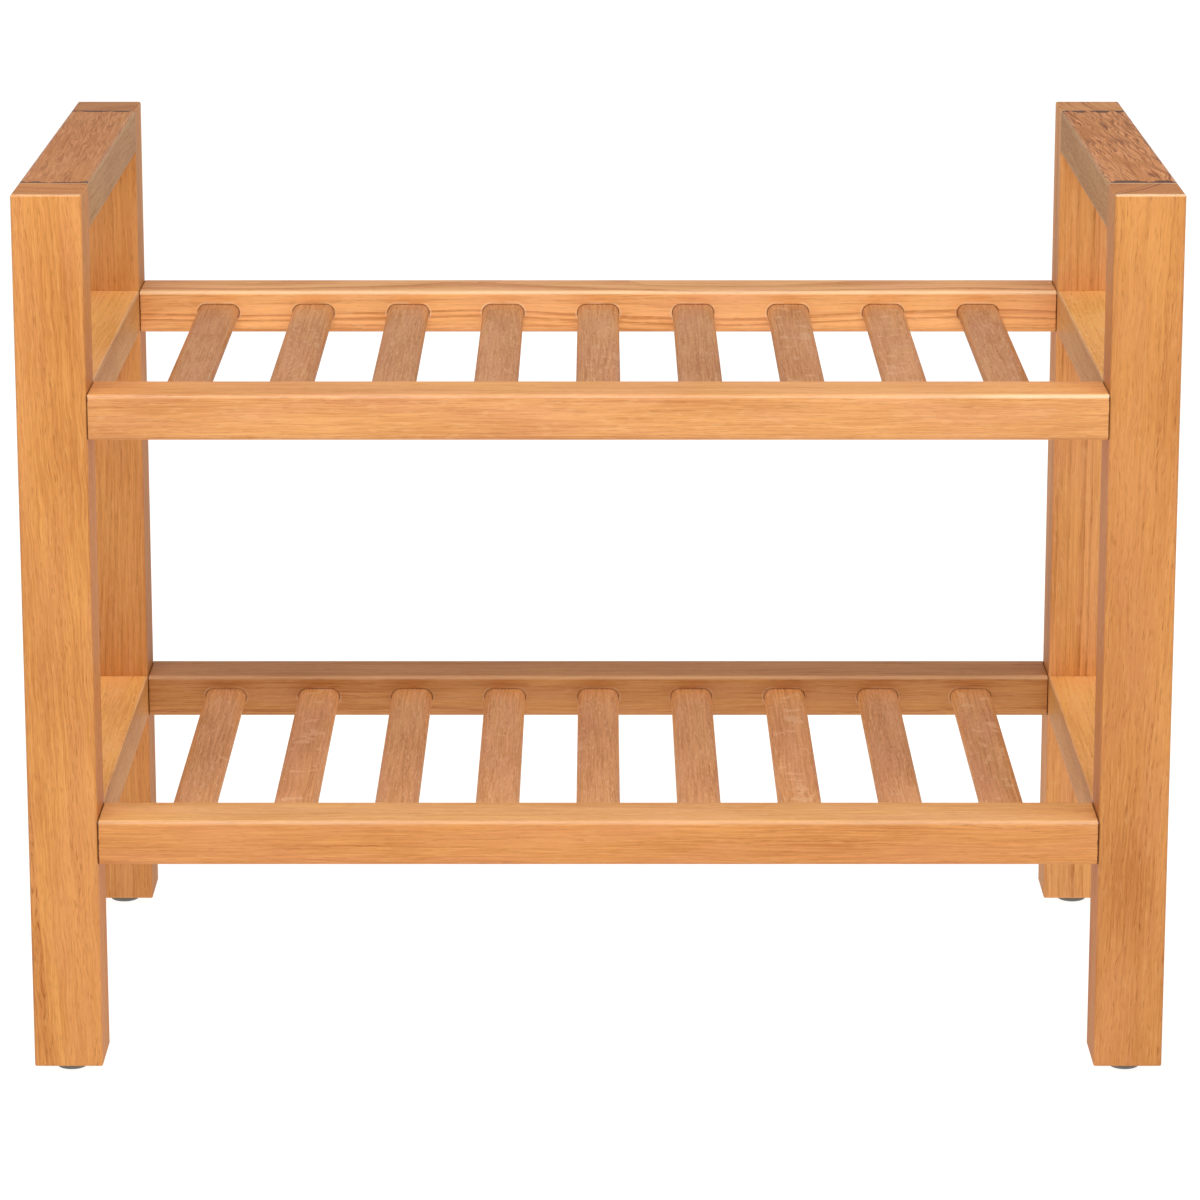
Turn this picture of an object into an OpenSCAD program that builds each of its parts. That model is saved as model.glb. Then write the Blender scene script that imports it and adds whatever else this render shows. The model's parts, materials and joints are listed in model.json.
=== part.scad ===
// Small oak bench rack: two side frames with raised handle rails, and two slatted shelves bolted between them.
// Millimetres. The origin is on the floor under the middle, +X to the right, +Y to the back, +Z up.

/* [Overall] */
// Width over the outer faces of the posts
overall_w = 495; // [380:5:900]
// Depth over the front and back faces of the posts
overall_d = 270; // [200:5:450]
// Height from the floor to the top of the posts
overall_h = 392; // [310:1:600]

/* [Posts and rails] */
// Side of a square post, which is also the depth of every rail
post_side = 30; // [28:1:45]
// Height of every rail and crossbar
rail_h = 20; // [18:1:30]
// Rounding of the side frames' edges
frame_r = 1.2; // [0.6:0.2:2]
// Rounding of the shelf rails' long edges
rail_r = 2.2; // [1:0.2:3]
// Easing of the shelf rails' ends
rail_end_r = 0.8; // [0.4:0.2:1.2]

/* [Shelf levels] */
// Hand gap between an upper crossbar and its handle rail
hand_gap = 66; // [50:1:90]
// Top of the lower shelf's rails above the floor
lower_top = 117; // [70:1:150]

/* [Slats] */
// Width of a slat
slat_w = 19.5; // [14:0.5:28]
// Thickness of a slat, whose edges are fully rounded
slat_t = 8; // [6:0.5:9]
// Drop from the top of a rail to the top of its slats
slat_drop = 6.5; // [5:0.5:8]
// Length of slat end housed in each rail
slat_tenon = 9; // [6:0.5:10]
// Gap between a post and the slat beside it
end_gap = 27.75; // [20:0.25:36]
// Clearance round a slat in its mortise
mortise_clear = 0.3; // [0.1:0.1:0.6]

/* [Side frame dowels] */
// Diameter of a dowel
dowel_d = 6; // [5:0.5:7]
// Distance from each side of a bar to the dowel beside it
dowel_edge = 9; // [9:0.5:10]
// Depth of a dowel in its post
dowel_in_post = 9; // [7:0.5:9]
// Depth of a dowel in its rail or crossbar
dowel_in_bar = 16; // [10:1:20]
// Space left for glue past each end of a dowel
glue_space = 0.5; // [0.2:0.1:0.8]

/* [Shelf bolts] */
// Nominal diameter of a connector bolt
bolt_d = 6; // [5:0.5:6]
// How far a bolt's tip runs past the middle of its barrel nut
bolt_past_nut = 10; // [6:1:14]
// Diameter of a bolt's head
head_d = 10; // [9:0.5:10.5]
// Height of a bolt's head
head_h = 5; // [3:0.5:5.5]
// Size across the flats of the hexagon socket
socket_af = 4; // [3:0.5:5]
// Depth of the hexagon socket
socket_deep = 3; // [2:0.5:3]
// Depth of the counterbore in a post's outer face
sink_deep = 6; // [5.5:0.5:6.5]
// Distance from a post's front or back face to its bolts
bolt_edge = 14; // [13.5:0.5:14.5]
// Clearance of a bolt in its hole, and of its head in the counterbore
bolt_clear = 0.5; // [0.2:0.1:0.6]
// Diameter of a barrel nut
nut_d = 10; // [9:0.5:10]
// Length of a barrel nut
nut_l = 14; // [10:0.5:15]
// Distance from a rail's end to its barrel nut
nut_edge = 26; // [20:1:36]
// Clearance of a barrel nut in its hole
nut_clear = 0.1; // [0.05:0.05:0.2]
// Diameter of the locating pin beside each bolt
pin_d = 5; // [4:0.5:5]
// Distance from a post's front or back face to its locating pins
pin_edge = 6; // [5:0.5:6.5]
// Depth of a locating pin in its post
pin_in_post = 10; // [8:1:14]
// Depth of a locating pin in its rail
pin_in_rail = 14; // [8:1:20]

/* [Feet] */
// Diameter of a glide
glide_d = 15; // [12:0.5:20]
// Height of a glide under its leg
glide_h = 4.5; // [2:0.5:5]
// Rounding of a glide's lower edge
glide_r = 2; // [0.4:0.2:2.2]
// Diameter of a glide nail's shank
nail_d = 2.2; // [1.6:0.2:3]
// Length of a glide nail's shank in the leg
nail_l = 14; // [8:1:20]
// Diameter of a glide nail's head
nail_head_d = 5; // [4:0.5:6]
// Thickness of a glide nail's head
nail_head_h = 0.8; // [0.5:0.1:1]
// Recess of the nail's head above the floor
nail_recess = 0.5; // [0.3:0.1:0.8]

/* [Hidden] */

$fn = 48;
slat_count = 9;                                    // slats in each shelf, one node each
past = 1;                                          // how far a cutter runs past a face
half_w = overall_w / 2;
half_d = overall_d / 2;
upper_top = overall_h - rail_h - hand_gap;         // top of the upper shelf's rails
inner_w = overall_w - 2 * post_side;               // between the side frames
inner_d = overall_d - 2 * post_side;               // between the front and back posts
bar_tops = [overall_h, upper_top, lower_top];      // handle rail, upper and lower crossbars
shelf_tops = [upper_top, lower_top];
slat_pitch = (inner_w - 2 * end_gap - slat_w) / (slat_count - 1);
slat_first = -inner_w / 2 + end_gap + slat_w / 2;  // middle of the slat at the left end
dowel_places = [dowel_edge, post_side - dowel_edge];
bolt_l = post_side - sink_deep + nut_edge + bolt_past_nut;  // under the head
honey_oak = [0.87, 0.60, 0.36];
warm_oak = [0.85, 0.57, 0.33];
brown_oak = [0.79, 0.56, 0.40];
beech = [0.86, 0.74, 0.56];
zinc = [0.74, 0.75, 0.76];
nylon = [0.72, 0.72, 0.70];

// A corner of the bench: its outer faces are x = 0 and y = 0, and the bench lies towards +x and +y
module corner(right, back) {
    mirror([right ? 1 : 0, 0, 0])
        mirror([0, back ? 1 : 0, 0])
            translate([-half_w, -half_d, 0])
                children();
}

// Rectangle from 0,0 whose four corners have the radii r = [at 0,0, at a,0, at a,b, at 0,b]
module eased_rect(a, b, r) {
    difference() {
        square([a, b]);
        corner_waste(0, 0, 1, 1, r[0]);
        corner_waste(a, 0, -1, 1, r[1]);
        corner_waste(a, b, -1, -1, r[2]);
        corner_waste(0, b, 1, -1, r[3]);
    }
}

// What a rounding of radius r takes off the corner at x, y, towards the sides sx, sy
module corner_waste(x, y, sx, sy, r) {
    if (r > 0)
        translate([x, y])
            scale([sx, sy])
                difference() {
                    translate([-past, -past])
                        square(r + past);
                    translate([r, r])
                        circle(r);
                }
}

// Bar of a by b by l standing on 0,0,0, with rounded long edges
module upright_bar(a, b, l, r) {
    linear_extrude(l)
        eased_rect(a, b, r);
}

// Turns a bar that stands along z so that it lies along x: its section's x, y become y, z
module along_x() {
    multmatrix([[0, 0, 1, 0], [1, 0, 0, 0], [0, 1, 0, 0]])
        children();
}

// Turns a bar that stands along z so that it lies along y: its section's x, y become z, x
module along_y() {
    multmatrix([[0, 1, 0, 0], [0, 0, 1, 0], [1, 0, 0, 0]])
        children();
}

// Middle height of a rail whose top is at top
function bar_mid(top) = top - rail_h / 2;

// The post of one corner, with its upper end in line with the handle rail
module post() {
    leg_l = overall_h - glide_h;
    difference() {
        translate([0, 0, glide_h])
            intersection() {
                upright_bar(post_side, post_side, leg_l, [frame_r, frame_r, 0, 0]);
                along_x()
                    upright_bar(post_side, leg_l, post_side, [frame_r, frame_r, 0, frame_r]);
                along_y()
                    upright_bar(leg_l, post_side, post_side, [frame_r, frame_r, frame_r, frame_r]);
            }
        inward_easing(glide_h - past, lower_top - rail_h);
        inward_easing(lower_top, upper_top - rail_h);
        inward_easing(upper_top, overall_h - rail_h);
        for (top = shelf_tops) {
            bolt_hole(top);
            pin_hole(top);
        }
        for (top = bar_tops)
            dowel_holes(top);
        translate([post_side / 2, post_side / 2, glide_h - past])
            cylinder(d = nail_d, h = nail_l + past);
    }
}

// Rounds the two edges of a post that face the other post of its frame, between two of the frame's bars
module inward_easing(low, high) {
    translate([0, 0, low])
        linear_extrude(high - low) {
            corner_waste(0, post_side, 1, -1, frame_r);
            corner_waste(post_side, post_side, -1, -1, frame_r);
        }
}

// Counterbored bolt hole from a post's outer face into the rail, with the barrel nut's hole from below
module bolt_hole(top) {
    translate([0, bolt_edge, bar_mid(top)])
        rotate([0, 90, 0]) {
            translate([0, 0, -past])
                cylinder(d = head_d + 2 * bolt_clear, h = sink_deep + past);
            cylinder(d = bolt_d + 2 * bolt_clear, h = sink_deep + bolt_l + bolt_clear);
        }
    translate([post_side + nut_edge, bolt_edge, top - rail_h - past])
        cylinder(d = nut_d + 2 * nut_clear, h = rail_h / 2 + nut_l / 2 + past);
}

// Hole for the locating pin across a post and its rail
module pin_hole(top) {
    translate([post_side - pin_in_post - glue_space, pin_edge, bar_mid(top)])
        rotate([0, 90, 0])
            cylinder(d = pin_d, h = pin_in_post + pin_in_rail + 2 * glue_space);
}

// Holes for the two dowels across a post and a bar of its side frame
module dowel_holes(top) {
    for (x = dowel_places)
        translate([x, post_side - dowel_in_post - glue_space, bar_mid(top)])
            rotate([-90, 0, 0])
                cylinder(d = dowel_d, h = dowel_in_post + dowel_in_bar + 2 * glue_space);
}

// A bar of the left side frame, lying between its two posts with its top at top
module frame_bar(top) {
    difference() {
        translate([-half_w, -inner_d / 2, top - rail_h])
            along_y()
                upright_bar(rail_h, post_side, inner_d, [frame_r, frame_r, frame_r, frame_r]);
        for (back = [false, true])
            corner(false, back)
                dowel_holes(top);
    }
}

// The front rail of a shelf whose rails' tops are at top
module shelf_rail(top) {
    difference() {
        translate([-inner_w / 2, -half_d, top - rail_h])
            intersection() {
                along_x()
                    upright_bar(post_side, rail_h, inner_w, [rail_r, rail_r, rail_r, rail_r]);
                upright_bar(inner_w, post_side, rail_h, [rail_end_r, rail_end_r, rail_end_r, rail_end_r]);
                along_y()
                    upright_bar(rail_h, inner_w, post_side, [rail_end_r, rail_end_r, rail_end_r, rail_end_r]);
            }
        for (right = [false, true])
            corner(right, false) {
                bolt_hole(top);
                pin_hole(top);
            }
        for (i = [1:slat_count])
            slat_shape(i, top, mortise_clear);
    }
}

// Slat i of a shelf, grown by clear all round for its mortises
module slat_shape(i, top, clear) {
    full_w = slat_w + 2 * clear;
    full_t = slat_t + 2 * clear;
    length = inner_d + 2 * slat_tenon;
    translate([slat_first + (i - 1) * slat_pitch, length / 2, top - slat_drop - slat_t / 2])
        rotate([90, 0, 0])
            linear_extrude(length) {
                square([full_w - full_t, full_t], center = true);
                for (side = [-1, 1])
                    translate([side * (full_w - full_t) / 2, 0])
                        circle(d = full_t);
            }
}

// Fasteners of the front left corner
module frame_dowel_set() {
    for (top = bar_tops)
        for (x = dowel_places)
            translate([x, post_side - dowel_in_post, bar_mid(top)])
                rotate([-90, 0, 0])
                    cylinder(d = dowel_d, h = dowel_in_post + dowel_in_bar);
}

module pin_set() {
    for (top = shelf_tops)
        translate([post_side - pin_in_post, pin_edge, bar_mid(top)])
            rotate([0, 90, 0])
                cylinder(d = pin_d, h = pin_in_post + pin_in_rail);
}

module bolt_set() {
    for (top = shelf_tops)
        translate([sink_deep, bolt_edge, bar_mid(top)])
            rotate([0, 90, 0])
                difference() {
                    union() {
                        cylinder(d = bolt_d, h = bolt_l);
                        translate([0, 0, -head_h])
                            cylinder(d = head_d, h = head_h);
                    }
                    translate([0, 0, -head_h - past])
                        cylinder(d = socket_af / cos(30), h = socket_deep + past, $fn = 6);
                }
}

module nut_set() {
    for (top = shelf_tops)
        translate([post_side + nut_edge, bolt_edge, bar_mid(top)])
            difference() {
                cylinder(d = nut_d, h = nut_l, center = true);
                rotate([0, 90, 0])
                    cylinder(d = bolt_d, h = nut_d + 2 * past, center = true);
            }
}

// Round glide under a leg, with a rounded lower edge and a pocket for its nail's head
module glide() {
    translate([post_side / 2, post_side / 2, 0])
        difference() {
            rotate_extrude()
                difference() {
                    square([glide_d / 2, glide_h]);
                    corner_waste(glide_d / 2, 0, -1, 1, glide_r);
                }
            translate([0, 0, -past])
                cylinder(d = nail_d, h = glide_h + 2 * past);
            translate([0, 0, -past])
                cylinder(d = nail_head_d, h = nail_recess + nail_head_h + past);
        }
}

module glide_nail() {
    translate([post_side / 2, post_side / 2, nail_recess]) {
        cylinder(d = nail_head_d, h = nail_head_h);
        cylinder(d = nail_d, h = glide_h - nail_recess + nail_l);
    }
}

// Both corners of one side
module both_corners(right) {
    for (back = [false, true])
        corner(right, back)
            children();
}

// Sub-parts
module front_left_post() { color(honey_oak) corner(false, false) post(); }
module front_right_post() { color(warm_oak) corner(true, false) post(); }
module back_left_post() { color(honey_oak) corner(false, true) post(); }
module back_right_post() { color(warm_oak) corner(true, true) post(); }
module left_handle_rail() { color(brown_oak) frame_bar(overall_h); }
module right_handle_rail() { color(brown_oak) mirror([1, 0, 0]) frame_bar(overall_h); }
module left_upper_crossbar() { color(brown_oak) frame_bar(upper_top); }
module left_lower_crossbar() { color(brown_oak) frame_bar(lower_top); }
module right_upper_crossbar() { color(brown_oak) mirror([1, 0, 0]) frame_bar(upper_top); }
module right_lower_crossbar() { color(brown_oak) mirror([1, 0, 0]) frame_bar(lower_top); }
module upper_front_rail() { color(honey_oak) shelf_rail(upper_top); }
module upper_back_rail() { color(honey_oak) mirror([0, 1, 0]) shelf_rail(upper_top); }
module lower_front_rail() { color(warm_oak) shelf_rail(lower_top); }
module lower_back_rail() { color(warm_oak) mirror([0, 1, 0]) shelf_rail(lower_top); }
module upper_slat(i) { color(brown_oak) slat_shape(i, upper_top, 0); }
module lower_slat(i) { color(brown_oak) slat_shape(i, lower_top, 0); }
module left_frame_dowels() { color(beech) both_corners(false) frame_dowel_set(); }
module right_frame_dowels() { color(beech) both_corners(true) frame_dowel_set(); }
module left_locating_pins() { color(beech) both_corners(false) pin_set(); }
module right_locating_pins() { color(beech) both_corners(true) pin_set(); }
module left_connector_bolts() { color(zinc) both_corners(false) bolt_set(); }
module right_connector_bolts() { color(zinc) both_corners(true) bolt_set(); }
module left_barrel_nuts() { color(zinc) both_corners(false) nut_set(); }
module right_barrel_nuts() { color(zinc) both_corners(true) nut_set(); }
module front_left_glide() { color(nylon) corner(false, false) glide(); }
module front_right_glide() { color(nylon) corner(true, false) glide(); }
module back_left_glide() { color(nylon) corner(false, true) glide(); }
module back_right_glide() { color(nylon) corner(true, true) glide(); }
module glide_nails() { color(zinc) for (right = [false, true]) both_corners(right) glide_nail(); }

front_left_post();
front_right_post();
back_left_post();
back_right_post();
left_handle_rail();
right_handle_rail();
left_upper_crossbar();
left_lower_crossbar();
right_upper_crossbar();
right_lower_crossbar();
upper_front_rail();
upper_back_rail();
lower_front_rail();
lower_back_rail();
for (i = [1:slat_count])
    upper_slat(i);
for (i = [1:slat_count])
    lower_slat(i);
left_frame_dowels();
right_frame_dowels();
left_locating_pins();
right_locating_pins();
left_connector_bolts();
right_connector_bolts();
left_barrel_nuts();
right_barrel_nuts();
front_left_glide();
front_right_glide();
back_left_glide();
back_right_glide();
glide_nails();
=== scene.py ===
import json
import math
import random

import bpy
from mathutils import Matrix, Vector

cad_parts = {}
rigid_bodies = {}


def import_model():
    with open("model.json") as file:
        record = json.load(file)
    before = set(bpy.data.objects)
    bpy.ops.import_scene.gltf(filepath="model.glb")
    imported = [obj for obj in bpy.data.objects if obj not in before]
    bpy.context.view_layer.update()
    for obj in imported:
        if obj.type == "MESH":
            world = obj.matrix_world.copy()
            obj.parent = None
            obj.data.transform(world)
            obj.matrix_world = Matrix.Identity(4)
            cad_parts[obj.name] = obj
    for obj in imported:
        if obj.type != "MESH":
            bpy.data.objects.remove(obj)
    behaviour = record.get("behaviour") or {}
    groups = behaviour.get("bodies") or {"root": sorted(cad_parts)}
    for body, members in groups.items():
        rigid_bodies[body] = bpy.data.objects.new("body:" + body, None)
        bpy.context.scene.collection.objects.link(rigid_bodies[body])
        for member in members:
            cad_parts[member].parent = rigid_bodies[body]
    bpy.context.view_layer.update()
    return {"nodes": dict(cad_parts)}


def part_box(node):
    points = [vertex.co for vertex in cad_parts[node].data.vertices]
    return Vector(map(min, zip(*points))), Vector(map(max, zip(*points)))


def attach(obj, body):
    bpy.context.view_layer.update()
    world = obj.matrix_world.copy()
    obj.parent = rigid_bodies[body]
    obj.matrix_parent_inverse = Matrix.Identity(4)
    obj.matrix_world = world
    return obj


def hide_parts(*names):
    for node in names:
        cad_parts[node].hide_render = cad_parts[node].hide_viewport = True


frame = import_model()
nodes = frame["nodes"]
mm = 0.001
print("frame loaded:", len(nodes), "nodes")


class Wire:  # one value inside a material, on which plain sums make Math nodes
    def __init__(self, finish, socket):
        self.finish = finish
        self.socket = socket

    def __add__(self, other):
        return self.finish.calc("ADD", self, other)

    def __radd__(self, other):
        return self.finish.calc("ADD", other, self)

    def __sub__(self, other):
        return self.finish.calc("SUBTRACT", self, other)

    def __rsub__(self, other):
        return self.finish.calc("SUBTRACT", other, self)

    def __mul__(self, other):
        return self.finish.calc("MULTIPLY", self, other)

    def __rmul__(self, other):
        return self.finish.calc("MULTIPLY", other, self)

    def __truediv__(self, other):
        return self.finish.calc("DIVIDE", self, other)


class Finish:  # a material with one Principled shader, built up from wires
    def __init__(self, name, **fixed):
        self.material = bpy.data.materials.new(name)
        self.material.use_nodes = True
        self.tree = self.material.node_tree
        self.shader = self.tree.nodes["Principled BSDF"]
        for socketName, value in fixed.items():
            self.shader.inputs[socketName.replace("_", " ")].default_value = value

    def add(self, kind, settings=None, values=None):  # any node: settings first, then its sockets
        node = self.tree.nodes.new(kind)
        for key, value in (settings or {}).items():
            setattr(node, key, value)
        for key, value in (values or {}).items():
            self.feed(node.inputs[key], value)
        return node

    def feed(self, socket, value):  # a link, a colour or a number into one socket
        if isinstance(value, Wire):
            self.tree.links.new(value.socket, socket)
        elif socket.type == "RGBA" and len(value) == 3:
            socket.default_value = (*value, 1)
        else:
            socket.default_value = value

    def calc(self, operation, *values):
        node = self.add("ShaderNodeMath", {"operation": operation}, dict(enumerate(values)))
        return Wire(self, node.outputs[0])

    def smooth(self, value, low, high):  # 0 below low, 1 above high, eased between
        node = self.add(
            "ShaderNodeMapRange",
            {"interpolation_type": "SMOOTHSTEP"},
            {"Value": value, "From Min": low, "From Max": high},
        )
        return Wire(self, node.outputs["Result"])

    def mix(self, share, first, second, blend="MIX"):  # two colours
        node = self.add("ShaderNodeMix", {"data_type": "RGBA", "blend_type": blend})
        self.feed(node.inputs[0], share)
        self.feed(node.inputs[6], first)
        self.feed(node.inputs[7], second)
        return Wire(self, node.outputs[2])

    def point(self, x, y, z):
        node = self.add("ShaderNodeCombineXYZ", None, {0: x, 1: y, 2: z})
        return Wire(self, node.outputs[0])

    def parts(self, vector):
        node = self.add("ShaderNodeSeparateXYZ", None, {0: vector})
        return [Wire(self, output) for output in node.outputs]

    def noise(self, x, y, z, detail=2, rough=0.5):
        node = self.add(
            "ShaderNodeTexNoise",
            {"noise_dimensions": "3D"},
            {"Vector": self.point(x, y, z), "Scale": 1, "Detail": detail, "Roughness": rough},
        )
        return Wire(self, node.outputs["Fac"])

    def place(self, centre=(0, 0, 0), turn=(0, 0, 0)):  # the piece's own coordinates, centred and turned
        coordinates = self.add("ShaderNodeTexCoord")
        moved = self.add("ShaderNodeVectorMath", {"operation": "SUBTRACT"})
        self.tree.links.new(coordinates.outputs["Object"], moved.inputs[0])
        moved.inputs[1].default_value = centre
        turned = self.add("ShaderNodeMapping", {"vector_type": "POINT"}, {"Rotation": turn})
        self.tree.links.new(moved.outputs[0], turned.inputs["Vector"])
        return Wire(self, turned.outputs[0])

    def bump(self, height, strength, distance):
        node = self.add(
            "ShaderNodeBump",
            None,
            {"Height": height, "Strength": strength, "Distance": distance},
        )
        return Wire(self, node.outputs[0])

    def wear(self, **sockets):  # links or values on the shader's own sockets
        for socketName, value in sockets.items():
            self.feed(self.shader.inputs[socketName.replace("_", " ")], value)
        return self.material


def srgb(red, green, blue):  # a screen colour, 0 to 255, as the shader's linear one
    def linear(value):
        value = value / 255
        return value / 12.92 if value <= 0.04045 else ((value + 0.055) / 1.055) ** 2.4

    return linear(red), linear(green), linear(blue)


# The camera looks down a little on the bench from in front
cameraSetup = {
    "distance": 2.1143,  # from the middle of the bench
    "height": 0.72024,
    "tilt": 13.424,  # degrees below level
    "lens": 142.8,
    "sensor": 36,
    "shift": (0.0015, -0.06),
}


def makeCamera(setup):
    data = bpy.data.cameras.new("camera")
    data.lens = setup["lens"]
    data.sensor_width = setup["sensor"]
    data.shift_x, data.shift_y = setup["shift"]
    data.clip_start = 0.05
    data.clip_end = 50
    camera = bpy.data.objects.new("camera", data)
    camera.location = (0, -setup["distance"], setup["height"])
    camera.rotation_euler = (math.radians(90 - setup["tilt"]), 0, 0)
    bpy.context.scene.collection.objects.link(camera)
    bpy.context.scene.camera = camera


makeCamera(cameraSetup)
print("camera placed")

# A pale floor and soft studio lights
studio = {
    "floorSize": 16,
    "floorColour": (0.3, 0.3, 0.3),
    "floorGlow": 0.92,  # lifts the floor to white
    "worldColour": (1, 1, 1),
    "worldStrength": 0.37,
    "lights": [
        # name, place, aim, width, height, watts
        ("left box", (-1.6, -1.9, 1.35), (0, 0, 0.2), 0.7, 0.7, 6.2),
        ("right box", (1.6, -1.9, 1.35), (0, 0, 0.2), 0.7, 0.7, 6.4),
        ("top box", (0, -0.85, 1.75), (0, 0, 0.25), 1.8, 1.2, 23.5),
    ],
}


def makeStudio(setup):
    bpy.ops.mesh.primitive_plane_add(size=setup["floorSize"], location=(0, 0, 0))
    floor = bpy.context.object
    floor.name = "floor"
    floor.visible_glossy = False  # or the lacquer shines white from below
    paint = Finish("floor paint", Roughness=0.9)
    paint.wear(
        Base_Color=setup["floorColour"],
        Emission_Color=(1, 1, 1),
        Emission_Strength=setup["floorGlow"],
    )
    floor.data.materials.append(paint.material)
    world = bpy.data.worlds.new("studio")
    world.use_nodes = True
    background = world.node_tree.nodes["Background"]
    background.inputs["Color"].default_value = (*setup["worldColour"], 1)
    background.inputs["Strength"].default_value = setup["worldStrength"]
    bpy.context.scene.world = world
    for name, spot, aim, width, height, watts in setup["lights"]:
        light = bpy.data.lights.new(name, "AREA")
        light.shape = "RECTANGLE"
        light.size = width
        light.size_y = height
        light.energy = watts
        lamp = bpy.data.objects.new(name, light)
        lamp.location = spot
        way = Vector(aim) - Vector(spot)
        lamp.rotation_euler = way.to_track_quat("-Z", "Y").to_euler()
        bpy.context.scene.collection.objects.link(lamp)
    bpy.context.scene.view_settings.view_transform = "Standard"


makeStudio(studio)
print("studio lit")


# Lacquered oak, cut from a log whose heart lies beside the piece
oakSetup = {
    "light": srgb(235, 166, 96),
    "dark": srgb(193, 119, 58),
    "pore": srgb(138, 72, 24),
    "fleck": srgb(240, 184, 124),
    "rosy": srgb(228, 156, 108),
    "joint": srgb(80, 36, 8),
    "silver": srgb(230, 178, 122),
    # the colour of painted highlights, on arrises and mortise rims
    "paintedHighlight": srgb(255, 226, 184),
    "rosyShare": 0.3,
    "fleckShare": 0.6,
    "poreShare": 0.34,
    "silverShare": 0.9,
    "hollowShare": 0.75,
    "endGrainShare": 0.7,
    "jointShare": 0.93,
    "ringGap": 1.9,  # mm
    "trunkBend": 16,
    "ringRipple": 1.6,
    "wander": 2.4,
    "arris": 2.2,
    "roughness": 0.42,
    "lacquer": 0.12,
    "relief": 0.1 * mm,
}
turns = {  # turns that lay the grain, along z in the pattern, along each axis
    "X": (0, -math.pi / 2, 0),
    "Y": (math.pi / 2, 0, 0),
    "Z": (0, 0, 0),
}


def tinted(colour, tone):
    return [a * b for a, b in zip(colour, tone)]


def oakRings(finish, radius, along, start, gap):  # 1 in each ring's dark porous start, else 0
    drift = finish.noise(radius * 0.12 + start, start, along * 0.001, 1) * 3
    rings = radius / (oakSetup["ringGap"] * gap) + drift
    phase = finish.calc("FRACT", rings)
    ringTone = finish.noise((rings - phase) * 3.7 + start, start * 3, 0.5, 0)
    return (1 - finish.smooth(phase, 0.05, 0.62)) * finish.smooth(ringTone, 0.25, 0.7)


def oakWave(finish, across, along, start, wavy):  # how far the fibres wander sideways, in mm
    wave = (finish.noise(start + 5, across * 0.06, along * 0.02, 1) - 0.5) * oakSetup["wander"]
    ripples = finish.noise(across * 0.12, start + 5, along * 0.045, 1) - 0.5
    return wave + ripples * 3 * (wavy - 1)


def addSilver(finish, colour, across, along, upper, start, pores, amount):  # wide pale rays on a top
    bend = (finish.noise(across * 0.2, start, along * 0.04, 1) - 0.5) * 6
    field = finish.noise((across + bend) * 1.5, start, along * 0.04, 2, 0.55)
    patchField = finish.noise(across * 0.06 + start, start, along * 0.014, 1)
    patch = finish.smooth(patchField, 0.3, 0.46) * upper
    hollow = (1 - finish.smooth(field, 0.36, 0.5)) * patch
    rays = finish.smooth(field, 0.52, 0.57) * patch
    colour = finish.mix(hollow * oakSetup["hollowShare"] * amount, colour, pores)
    colour = finish.mix(rays * oakSetup["silverShare"] * amount, colour, oakSetup["silver"])
    return colour, rays


def addMouths(finish, colour, along, deep, rise, halfDeep, start, face, amount):  # painted highlight on the mortise rims
    sideways = finish.calc("PINGPONG", finish.calc("ABSOLUTE", along), slatPitch / 2)
    beyond = finish.calc("MAXIMUM", sideways - (mortiseHalf[0] - mortiseHalf[1]), 0)
    upright = rise - mortiseRise
    gapToMouth = finish.calc("SQRT", beyond * beyond + upright * upright) - mortiseHalf[1]
    rim = finish.smooth(gapToMouth, -0.05, 0.25) * (1 - finish.smooth(gapToMouth, 0.7, 1.5))
    rim = rim * finish.smooth(deep * face, halfDeep - 0.8, halfDeep - 0.3)
    rowEnd = (mortises / 2 - 0.2) * slatPitch
    rim = rim * (1 - finish.smooth(finish.calc("ABSOLUTE", along), rowEnd, rowEnd + 0.05 * slatPitch))
    rim = rim * finish.smooth(finish.noise(along * 0.13 + start, rise * 0.13, start, 1), 0.3, 0.7)
    return finish.mix(rim * amount, colour, oakSetup["paintedHighlight"])


# dark lines at the joints: partly the joint's own dark line, partly painted shadow in the gap, widened on the
# tops as painted shade
def addJoint(finish, colour, acrossFlat, deep, along, halfLong, upper, start, wide, topWide):
    ragged = (finish.noise(acrossFlat * 0.5, deep * 0.5, start, 2) - 0.5) * 0.8
    uneven = finish.smooth(finish.noise(acrossFlat * 0.16, start, along * 0.02, 2), 0.32, 0.6)
    spread = upper * uneven * topWide
    reach = finish.calc("ABSOLUTE", along) + ragged + spread  # dark past the joint's inner edge
    edge = halfLong - wide
    line = finish.smooth(reach, edge - 0.15, edge + 0.25 + spread * 0.4)
    return finish.mix(line * oakSetup["jointShare"], colour, oakSetup["joint"])


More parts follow.
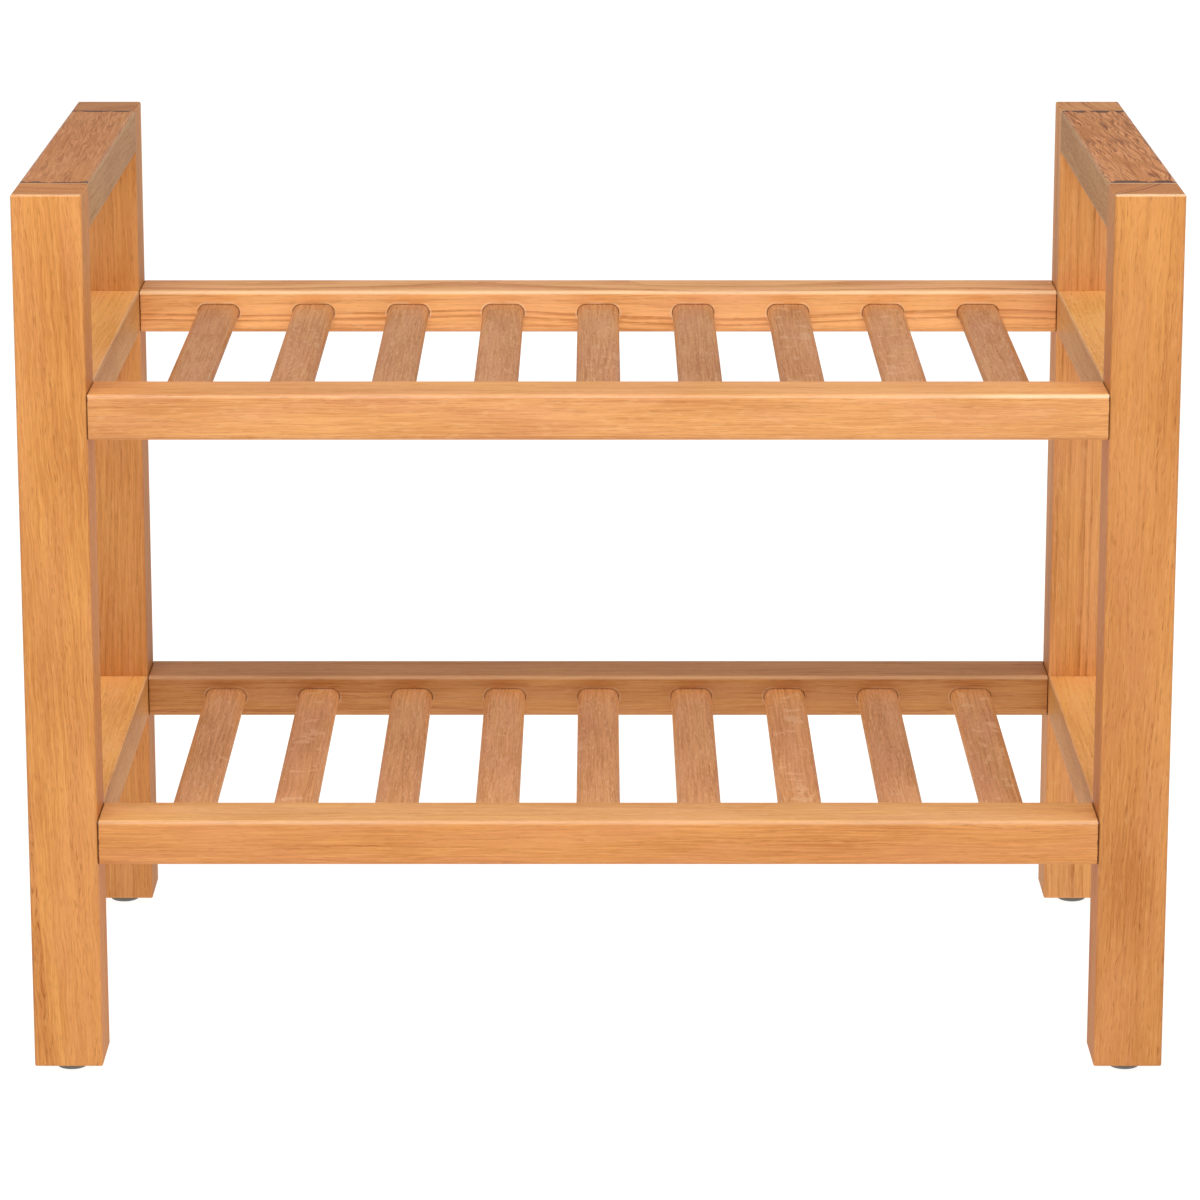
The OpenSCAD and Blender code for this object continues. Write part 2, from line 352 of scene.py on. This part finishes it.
def makeOak(
    name,
    grain,
    centre,
    size,  # mm, as across, deep and along the grain
    heart,  # where the log's heart is, in mm from the piece's middle
    seed,
    tone=(1, 1, 1),
    bold=1.0,  # contrast of the rings
    gap=1.0,  # their width
    streak=1.0,
    pore=1.0,
    fleck=0.3,
    slope=0.0,  # how far the grain runs off the piece's length
    wavy=1.0,
    joint=0.0,  # width of the dark line at the ends, in mm: partly the joint's own dark line, partly painted shadow in the gap
    topJoint=0.0,  # how much wider it is on top, as painted shade
    edge=0.0,  # strength of the painted highlight on the top arrises
    glint=0.0,  # how much stronger that painted highlight gets towards one end
    top=(1, 1, 1),  # tint of the top face; where it makes the top paler it is painted light from above
    silver=0.0,
    mouth=0,  # 1 or -1: the face with mortises
    fade=0.0,  # how much paler one end is
):
    chance = random.Random(seed)
    finish = Finish(name, IOR=1.5, Coat_Roughness=0.3, Specular_IOR_Level=0.3)
    metres = finish.parts(finish.place(centre, turns[grain]))
    acrossFlat, deep, along = [part * 1000 for part in metres]  # mm
    halfAcross, halfDeep, halfLong = [part / 2 for part in size]
    rise, halfRise = {"X": (acrossFlat, halfAcross), "Y": (deep, halfDeep), "Z": (along, halfLong)}[grain]
    if grain != "Z":
        rise = rise * -1  # laid flat, the pattern's own axis points down
    upper = finish.smooth(rise, halfRise - 0.6, halfRise - 0.15)
    light, dark, porous, pale, rosy = [
        tinted(oakSetup[part], tone) for part in ("light", "dark", "pore", "fleck", "rosy")
    ]
    start = chance.uniform(2, 90)
    across = acrossFlat + along * slope
    # the trunk's slow bends and the ripple of its rings
    swayOne = (finish.noise(start, across * 0.006, along * 0.0042, 1) - 0.5) * oakSetup["trunkBend"]
    swayTwo = (finish.noise(across * 0.006, start + 7, along * 0.0042, 1) - 0.5) * oakSetup["trunkBend"]
    ripple = finish.noise(across * 0.09 + start, deep * 0.09, along * 0.02, 2) - 0.5
    ripple = ripple * oakSetup["ringRipple"]
    toHeartOne = across + swayOne - heart[0]
    toHeartTwo = deep + swayTwo - heart[1]
    radius = finish.calc("SQRT", toHeartOne * toHeartOne + toHeartTwo * toHeartTwo) + ripple
    early = oakRings(finish, radius, along, start, gap)
    # fibres, broad bands and clouds
    wander = across + oakWave(finish, across, along, start, wavy)
    fibre = finish.noise(wander * 1.5, deep * 1.5 + start, along * 0.03, 3, 0.62)
    strand = finish.noise(wander * 0.5 + start, deep * 0.5, along * 0.011, 2)
    cloud = finish.noise(across * 0.05 + start, deep * 0.05, along * 0.012, 1)
    blush = finish.smooth(finish.noise(across * 0.09, deep * 0.09 + start, along * 0.016, 2), 0.4, 0.66)
    # pores: short dashes, closest in the rings' porous start
    poreField = finish.noise(wander * 2.2, deep * 2.2 + start, along * 0.19, 1, 0.4)
    pores = finish.smooth(poreField, 0.57, 0.67) * (0.35 + 0.65 * early)
    # rays: pale lenses where a face runs along them
    aroundHeart = finish.calc("ARCTAN2", toHeartTwo, toHeartOne) * math.hypot(*heart)
    rayField = finish.noise(aroundHeart * 1.6 + start, radius * 0.1, along * 0.12, 1)
    rays = finish.smooth(rayField, 0.58, 0.66) * fleck
    # colour
    depth = 0.42 + (early - 0.3) * 0.3 * bold + (finish.smooth(fibre, 0.34, 0.66) - 0.5) * 0.5 * streak
    depth = depth + (strand - 0.5) * 0.6 * streak + (cloud - 0.5) * 0.8 - along * (fade / halfLong)
    shade = finish.smooth(depth, -0.15, 1.05)
    colour = finish.mix(shade, light, dark)
    colour = finish.mix(blush * oakSetup["rosyShare"], colour, rosy)
    colour = finish.mix(rays * oakSetup["fleckShare"], colour, pale)
    colour = finish.mix(pores * oakSetup["poreShare"] * pore, colour, porous)
    if silver:
        colour, rays = addSilver(finish, colour, across, along, upper, start, porous, silver)
    if grain == "Z":  # the rings stand out on the end grain
        colour = finish.mix(early * upper * oakSetup["endGrainShare"], colour, porous)
    # the top face tinted: where paler, painted light from above
    colour = finish.mix(upper, colour, finish.mix(1, colour, top, "MULTIPLY"))
    arrisWide = oakSetup["arris"]
    flank = finish.smooth(finish.calc("ABSOLUTE", deep), halfDeep - arrisWide, halfDeep - 1)
    outer = finish.smooth(finish.calc("ABSOLUTE", acrossFlat), halfAcross - arrisWide, halfAcross - 1) * flank
    if edge:  # painted highlight: the top arrises lightened as if catching the light from above
        arris = outer * finish.smooth(rise, -1, 1)
        if grain == "Z":
            arris = flank * finish.smooth(rise, halfRise - 1.2, halfRise - 0.5)
        arris = arris * (0.5 + finish.noise(acrossFlat * 0.05, start, along * 0.02, 1))
        arris = arris * (1 + finish.smooth(along, halfLong * 0.5, halfLong) * glint)
        colour = finish.mix(arris * edge, colour, oakSetup["paintedHighlight"])
    if mouth:
        # painted highlight on the mortise rims, following the arrises' own
        colour = addMouths(finish, colour, along, deep, rise, halfDeep, start, mouth, edge * 0.9)
    if joint:
        colour = addJoint(finish, colour, acrossFlat, deep, along, halfLong, upper, start, joint, topJoint)
    height = fibre * 0.3 - pores - early * 0.25
    return finish.wear(
        Base_Color=colour,
        Roughness=oakSetup["roughness"] + shade * 0.1 + pores * 0.2 - rays * 0.06 - outer * 0.1,
        Coat_Weight=oakSetup["lacquer"] + outer * 0.2 - pores * 0.1,
        Normal=finish.bump(height, 0.2, oakSetup["relief"]),
    )


def plainFinish(name, colour, **fixed):  # one colour with a fine mottle
    finish = Finish(name, **fixed)
    x, y, z = finish.parts(finish.place())
    mottle = finish.noise(x * 900, y * 900, z * 900, 2)
    lighter = [min(1, part * 1.12) for part in colour]
    return finish.wear(Base_Color=finish.mix(mottle, colour, lighter))


def makeCut(name, grain, **cut):  # one piece's own oak, from its place and size
    low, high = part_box(name)
    wide, deep, tall = (high - low) / mm
    size = {"X": (tall, deep, wide), "Y": (wide, tall, deep), "Z": (wide, deep, tall)}[grain]
    oak = makeOak(name + " oak", grain, tuple((low + high) / 2), size, **cut)
    nodes[name].data.materials.clear()
    nodes[name].data.materials.append(oak)


# the slats' mortises: how many in a row, how far apart, half their size and how far above mid-rail, in mm
slatLow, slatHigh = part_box("upper_slat_5")
railLow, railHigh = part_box("upper_back_rail")
mortiseRoom = 0.15  # mm around a slat
mortises = sum(name.startswith("upper_slat") for name in nodes)
slatPitch = (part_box("upper_slat_6")[0][0] - slatLow[0]) / mm
mortiseHalf = [(slatHigh[axis] - slatLow[axis]) / 2 / mm + mortiseRoom for axis in (0, 2)]
mortiseRise = (slatHigh[2] + slatLow[2] - railHigh[2] - railLow[2]) / 2 / mm

# each frame piece's own grain, log and looks; top tints above one are painted light from above
# the handles' greyer tone is painted shade and sheen on their side faces; their top tint takes it back off
# the tops
handleLooks = dict(grain="Y", streak=1, pore=0.6, fleck=0.4, top=(0.96, 0.68, 0.5))
crossbarLooks = dict(
    grain="Y", tone=(0.93, 1.04, 1), streak=0.6, bold=0.4, joint=0.2, top=(1.5, 1.6, 1.65)
)
frameCuts = {
    "front_left_post": dict(
        grain="Z", heart=(20, 62), seed=11, tone=(0.93, 0.89, 0.7), bold=0.8, gap=2.4, streak=0.8, pore=1.7,
        slope=0.05, wavy=2.2, edge=0.2, top=(0.85, 0.76, 0.7), fade=0.04
    ),
    "front_right_post": dict(
        grain="Z", heart=(-70, 50), seed=12, tone=(0.87, 0.82, 0.67), bold=0.4, streak=0.6, pore=1.5,
        slope=-0.04, wavy=2.2, edge=0.5, top=(0.85, 0.75, 0.68), fade=0.12
    ),
    "back_left_post": dict(
        grain="Z", heart=(40, -60), seed=13, tone=(0.91, 0.93, 0.85), bold=0.6, streak=0.7,
        wavy=1.5, top=(0.78, 0.68, 0.66), fade=0.08
    ),
    "back_right_post": dict(
        grain="Z", heart=(75, 12), seed=14, tone=(1.01, 1.08, 1.08), bold=1.8, gap=2.2, streak=0.8,
        top=(0.85, 0.75, 0.68)
    ),
    "left_handle_rail": dict(
        heart=(60, -30), seed=31, tone=(0.78, 0.95, 1.04), slope=0.02, joint=0.4, topJoint=5,
        silver=0.5, **handleLooks
    ),
    "right_handle_rail": dict(
        heart=(-16, 70), seed=32, tone=(0.78, 0.93, 0.92), slope=0.06, joint=0.5, topJoint=8,
        silver=1, **handleLooks
    ),
    "left_upper_crossbar": dict(heart=(50, 40), seed=33, **crossbarLooks),
    "left_lower_crossbar": dict(heart=(-50, 40), seed=34, **crossbarLooks),
    "right_upper_crossbar": dict(heart=(55, -40), seed=35, **crossbarLooks),
    "right_lower_crossbar": dict(heart=(-45, -50), seed=36, **crossbarLooks),
    "upper_front_rail": dict(
        grain="X", heart=(66, 20), seed=51, tone=(1.02, 1.07, 1.18), bold=0.3, streak=0.75, joint=0.5,
        edge=0.1, glint=5, top=(1.12, 1.13, 1.03), fade=0.14
    ),
    "upper_back_rail": dict(
        grain="X", heart=(-70, 10), seed=52, tone=(1.11, 1.22, 1.42), bold=2.7, gap=1.6, joint=0.5,
        edge=0.42, mouth=-1
    ),
    "lower_front_rail": dict(
        grain="X", heart=(30, 70), seed=53, tone=(0.95, 0.9, 0.81), bold=0.4, streak=0.8, joint=0.6,
        edge=0.2, top=(1.15, 1.48, 1.85)
    ),
    # its dark tone is partly the wood's own, partly painted shade under the upper shelf
    "lower_back_rail": dict(
        grain="X", heart=(60, 40), seed=54, tone=(0.71, 0.735, 0.73), bold=1, joint=0.5, edge=0.2, mouth=-1
    ),
}
for name, cut in frameCuts.items():
    makeCut(name, **cut)

slatCuts = {
    # the lower tier's paler tone and tint are painted light, making up for the shade under the upper shelf
    "tones": {"upper": (0.8, 0.9), "lower": (1.05, 1.16)},  # each slat a little darker or paler
    "tints": {"upper": (1, 1.02, 1.25), "lower": (1, 1.13, 1.4)},
    "hearts": (45, 90),  # mm
    "looks": {"bold": 0.4, "pore": 1.2, "fleck": 0.8},
    "seed": 71,
}


def cutSlats(setup):
    chance = random.Random(setup["seed"])
    for name in nodes:
        if "slat" in name:
            tier = name.split("_")[0]
            tone = chance.uniform(*setup["tones"][tier])
            angle = chance.uniform(0, 2 * math.pi)
            far = chance.uniform(*setup["hearts"])
            heart = (far * math.cos(angle), far * math.sin(angle))
            tint = [tone * part for part in setup["tints"][tier]]
            makeCut(name, "Y", heart=heart, seed=chance.random(), tone=tint, **setup["looks"])


cutSlats(slatCuts)
print("oak laid on the frame and the slats")

beech = plainFinish("beech", srgb(214, 178, 130), Roughness=0.7)
zinc = plainFinish("zinc", srgb(190, 192, 194), Roughness=0.32, Metallic=1)
nylon = plainFinish("nylon", srgb(112, 110, 104), Roughness=0.45)
for name, node in nodes.items():
    if name not in frameCuts and "slat" not in name:
        node.data.materials.clear()
        if "dowel" in name or "pin" in name:
            node.data.materials.append(beech)
        else:
            node.data.materials.append(zinc)


def clearSelection():
    for thing in bpy.context.view_layer.objects:
        thing.select_set(False)
    bpy.context.view_layer.objects.active = None


def activate(thing):
    clearSelection()
    thing.select_set(True)
    bpy.context.view_layer.objects.active = thing


def facesDown(centre, normal):
    return normal[2] < -0.9


def facesUp(centre, normal):
    return normal[2] > 0.9


def pickFaces(thing, wanted):  # in edit mode, selects the faces whose centre and normal suit
    bpy.ops.mesh.select_mode(type="FACE")
    bpy.ops.mesh.select_all(action="DESELECT")
    bpy.ops.object.mode_set(mode="OBJECT")
    for face in thing.data.polygons:
        face.select = wanted(face.center, face.normal)
    bpy.ops.object.mode_set(mode="EDIT")


def applyModifier(thing, kind, **settings):
    modifier = thing.modifiers.new(kind, kind)
    for key, value in settings.items():
        setattr(modifier, key, value)
    bpy.ops.object.modifier_apply(modifier=modifier.name)


def makeDisc(name, radius, low, high, sides=48):  # an upright cylinder between two heights
    clearSelection()
    bpy.ops.mesh.primitive_cylinder_add(
        vertices=sides, radius=radius, depth=high - low, location=(0, 0, (low + high) / 2)
    )
    disc = bpy.context.object
    disc.name = name
    bpy.ops.object.transform_apply(location=True, rotation=True, scale=True)
    return disc


def cutAway(thing, cutter):
    activate(thing)
    applyModifier(thing, "BOOLEAN", operation="DIFFERENCE", object=cutter, solver="EXACT")
    bpy.data.objects.remove(cutter, do_unlink=True)


smoothAngle = math.radians(35)


def finishPiece(piece, material, slot, *replaced):
    activate(piece)
    bpy.ops.object.transform_apply(location=True, rotation=True, scale=True)
    bpy.ops.object.shade_smooth_by_angle(angle=smoothAngle)
    piece.data.materials.clear()
    piece.data.materials.append(material)
    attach(piece, "root")
    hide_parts(*replaced)


def copyTo(piece, name, spot, turn=(0, 0, 0)):  # a copy with its own mesh, set in place
    twin = piece.copy()
    twin.data = piece.data.copy()
    twin.name = name
    twin.location = spot
    twin.rotation_euler = turn
    bpy.context.scene.collection.objects.link(twin)
    return twin


def joinAll(pieces, name):
    activate(pieces[0])
    for piece in pieces[1:]:
        piece.select_set(True)
    if len(pieces) > 1:
        bpy.ops.object.join()
    whole = bpy.context.object
    whole.name = name
    return whole


corners = [name[: -len("_post")] for name in nodes if name.endswith("_post")]


def footOf(corner):  # the middle of a glide's underside
    low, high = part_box(corner + "_glide")
    return (low[0] + high[0]) / 2, (low[1] + high[1]) / 2, low[2]


# A glide: a turned nylon button with a soft rim, a shallow ring and a pocket for its nail
glideSetup = {
    "rim": 2 * mm,
    "ring": 5.2 * mm,
    "ringStep": 0.35 * mm,
    "pocket": 2.6 * mm,
    "pocketDeep": 1.3 * mm,
}


def makeGlides(setup):
    low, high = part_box("front_left_glide")
    radius = (high[0] - low[0]) / 2
    height = high[2] - low[2]
    glide = makeDisc("glide pattern", radius, 0, height)
    bpy.ops.object.mode_set(mode="EDIT")
    pickFaces(glide, facesDown)
    bpy.ops.mesh.bevel(offset=setup["rim"], segments=7, affect="EDGES")
    pickFaces(glide, lambda centre, normal: facesDown(centre, normal) and centre.length < mm)
    flat = radius - setup["rim"]
    bpy.ops.mesh.inset(thickness=flat - setup["ring"], depth=0)
    bpy.ops.mesh.inset(thickness=setup["ringStep"], depth=-setup["ringStep"])
    bpy.ops.mesh.inset(thickness=setup["ring"] - setup["pocket"] - 2 * setup["ringStep"], depth=0)
    bpy.ops.mesh.inset(thickness=setup["ringStep"], depth=-setup["pocketDeep"] + setup["ringStep"])
    bpy.ops.object.mode_set(mode="OBJECT")
    for name in corners:
        button = copyTo(glide, name + "_glide_button", footOf(name))
        finishPiece(button, nylon, "nylon", name + "_glide")
    bpy.data.objects.remove(glide, do_unlink=True)


makeGlides(glideSetup)
print("glides turned")

# Glide nails: a domed head on a plain shank
nailSetup = {
    "head": 2.45 * mm,
    "thick": 0.8 * mm,
    "dome": 0.45 * mm,
    "shank": 1.1 * mm,
    "point": 0.5 * mm,
    "recess": 0.5 * mm,
}


def makeNails(setup):
    top = setup["recess"] + setup["thick"]
    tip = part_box("glide_nails")[1][2]
    nail = makeDisc("nail pattern", setup["head"], setup["recess"], top, 32)
    bpy.ops.object.mode_set(mode="EDIT")
    pickFaces(nail, facesDown)
    bpy.ops.mesh.bevel(offset=setup["dome"], segments=4, affect="EDGES")
    pickFaces(nail, facesUp)
    bpy.ops.mesh.inset(thickness=setup["head"] - setup["shank"], depth=0)
    bpy.ops.mesh.extrude_region_move(TRANSFORM_OT_translate={"value": (0, 0, tip - top)})
    bpy.ops.mesh.bevel(offset=setup["point"], segments=2, affect="EDGES")
    bpy.ops.object.mode_set(mode="OBJECT")
    nails = [copyTo(nail, name + "_nail", footOf(name)) for name in corners]
    bpy.data.objects.remove(nail, do_unlink=True)
    finishPiece(joinAll(nails, "glide_nail_set"), zinc, "zinc_steel", "glide_nails")


makeNails(nailSetup)
print("nails made")

# Connector bolts: chamfered heads with a hexagon socket, sunk in the posts
boltSetup = {
    "head": 5 * mm,
    "headLong": 5 * mm,
    "headEase": 0.7 * mm,
    "shank": 3 * mm,
    "tipEase": 0.8 * mm,
    "socket": 4 * mm,
    "socketDeep": 3 * mm,
}


def makeBolts(setup, side, way):  # way is 1 where the bolts point along x, else -1
    node = side + "_connector_bolts"
    low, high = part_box(node)
    shankLong = high[0] - low[0] - setup["headLong"]
    bolt = makeDisc("bolt pattern", setup["head"], 0, setup["headLong"])
    bpy.ops.object.mode_set(mode="EDIT")
    pickFaces(bolt, facesDown)
    bpy.ops.mesh.bevel(offset=setup["headEase"], segments=4, affect="EDGES")
    pickFaces(bolt, facesUp)
    bpy.ops.mesh.inset(thickness=setup["head"] - setup["shank"], depth=0)
    bpy.ops.mesh.extrude_region_move(TRANSFORM_OT_translate={"value": (0, 0, shankLong)})
    bpy.ops.mesh.bevel(offset=setup["tipEase"], segments=1, affect="EDGES")
    bpy.ops.object.mode_set(mode="OBJECT")
    key = makeDisc("socket cutter", setup["socket"] / math.sqrt(3), -mm, setup["socketDeep"], 6)
    cutAway(bolt, key)
    bolts = []
    start = low[0] if way > 0 else high[0]
    for y in (low[1] + setup["head"], high[1] - setup["head"]):
        for z in (low[2] + setup["head"], high[2] - setup["head"]):
            bolts.append(copyTo(bolt, "bolt", (start, y, z), (0, way * math.pi / 2, 0)))
    bpy.data.objects.remove(bolt, do_unlink=True)
    finishPiece(joinAll(bolts, side + "_bolt_set"), zinc, "zinc_steel", node)


# Barrel nuts: eased ends, a slot to turn them by and the bolt's cross hole
nutSetup = {
    "length": 14 * mm,
    "ease": 0.6 * mm,
    "slotWide": 1.4 * mm,
    "slotDeep": 1.2 * mm,
    "hole": 3 * mm,
}


def makeNuts(setup, side):
    node = side + "_barrel_nuts"
    low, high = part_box(node)
    radius = (high[0] - low[0]) / 2
    length = setup["length"]
    nut = makeDisc("nut pattern", radius, -length / 2, length / 2)
    bpy.ops.object.mode_set(mode="EDIT")
    pickFaces(nut, lambda centre, normal: facesDown(centre, normal) or facesUp(centre, normal))
    bpy.ops.mesh.bevel(offset=setup["ease"], segments=3, affect="EDGES")
    bpy.ops.object.mode_set(mode="OBJECT")
    hole = makeDisc("hole cutter", setup["hole"], -2 * radius, 2 * radius)
    hole.rotation_euler = (0, math.pi / 2, 0)
    cutAway(nut, hole)
    clearSelection()
    bpy.ops.mesh.primitive_cube_add(size=1, location=(0, 0, -length / 2))
    slot = bpy.context.object
    slot.scale = (4 * radius, setup["slotWide"], 2 * setup["slotDeep"])
    cutAway(nut, slot)
    nuts = []
    for y in (low[1] + radius, high[1] - radius):
        for z in (low[2] + length / 2, high[2] - length / 2):
            nuts.append(copyTo(nut, "nut", ((low[0] + high[0]) / 2, y, z)))
    bpy.data.objects.remove(nut, do_unlink=True)
    finishPiece(joinAll(nuts, side + "_nut_set"), zinc, "zinc_steel", node)


for side, way in (("left", 1), ("right", -1)):
    makeBolts(boltSetup, side, way)
    makeNuts(nutSetup, side)
print("bolts and nuts made")
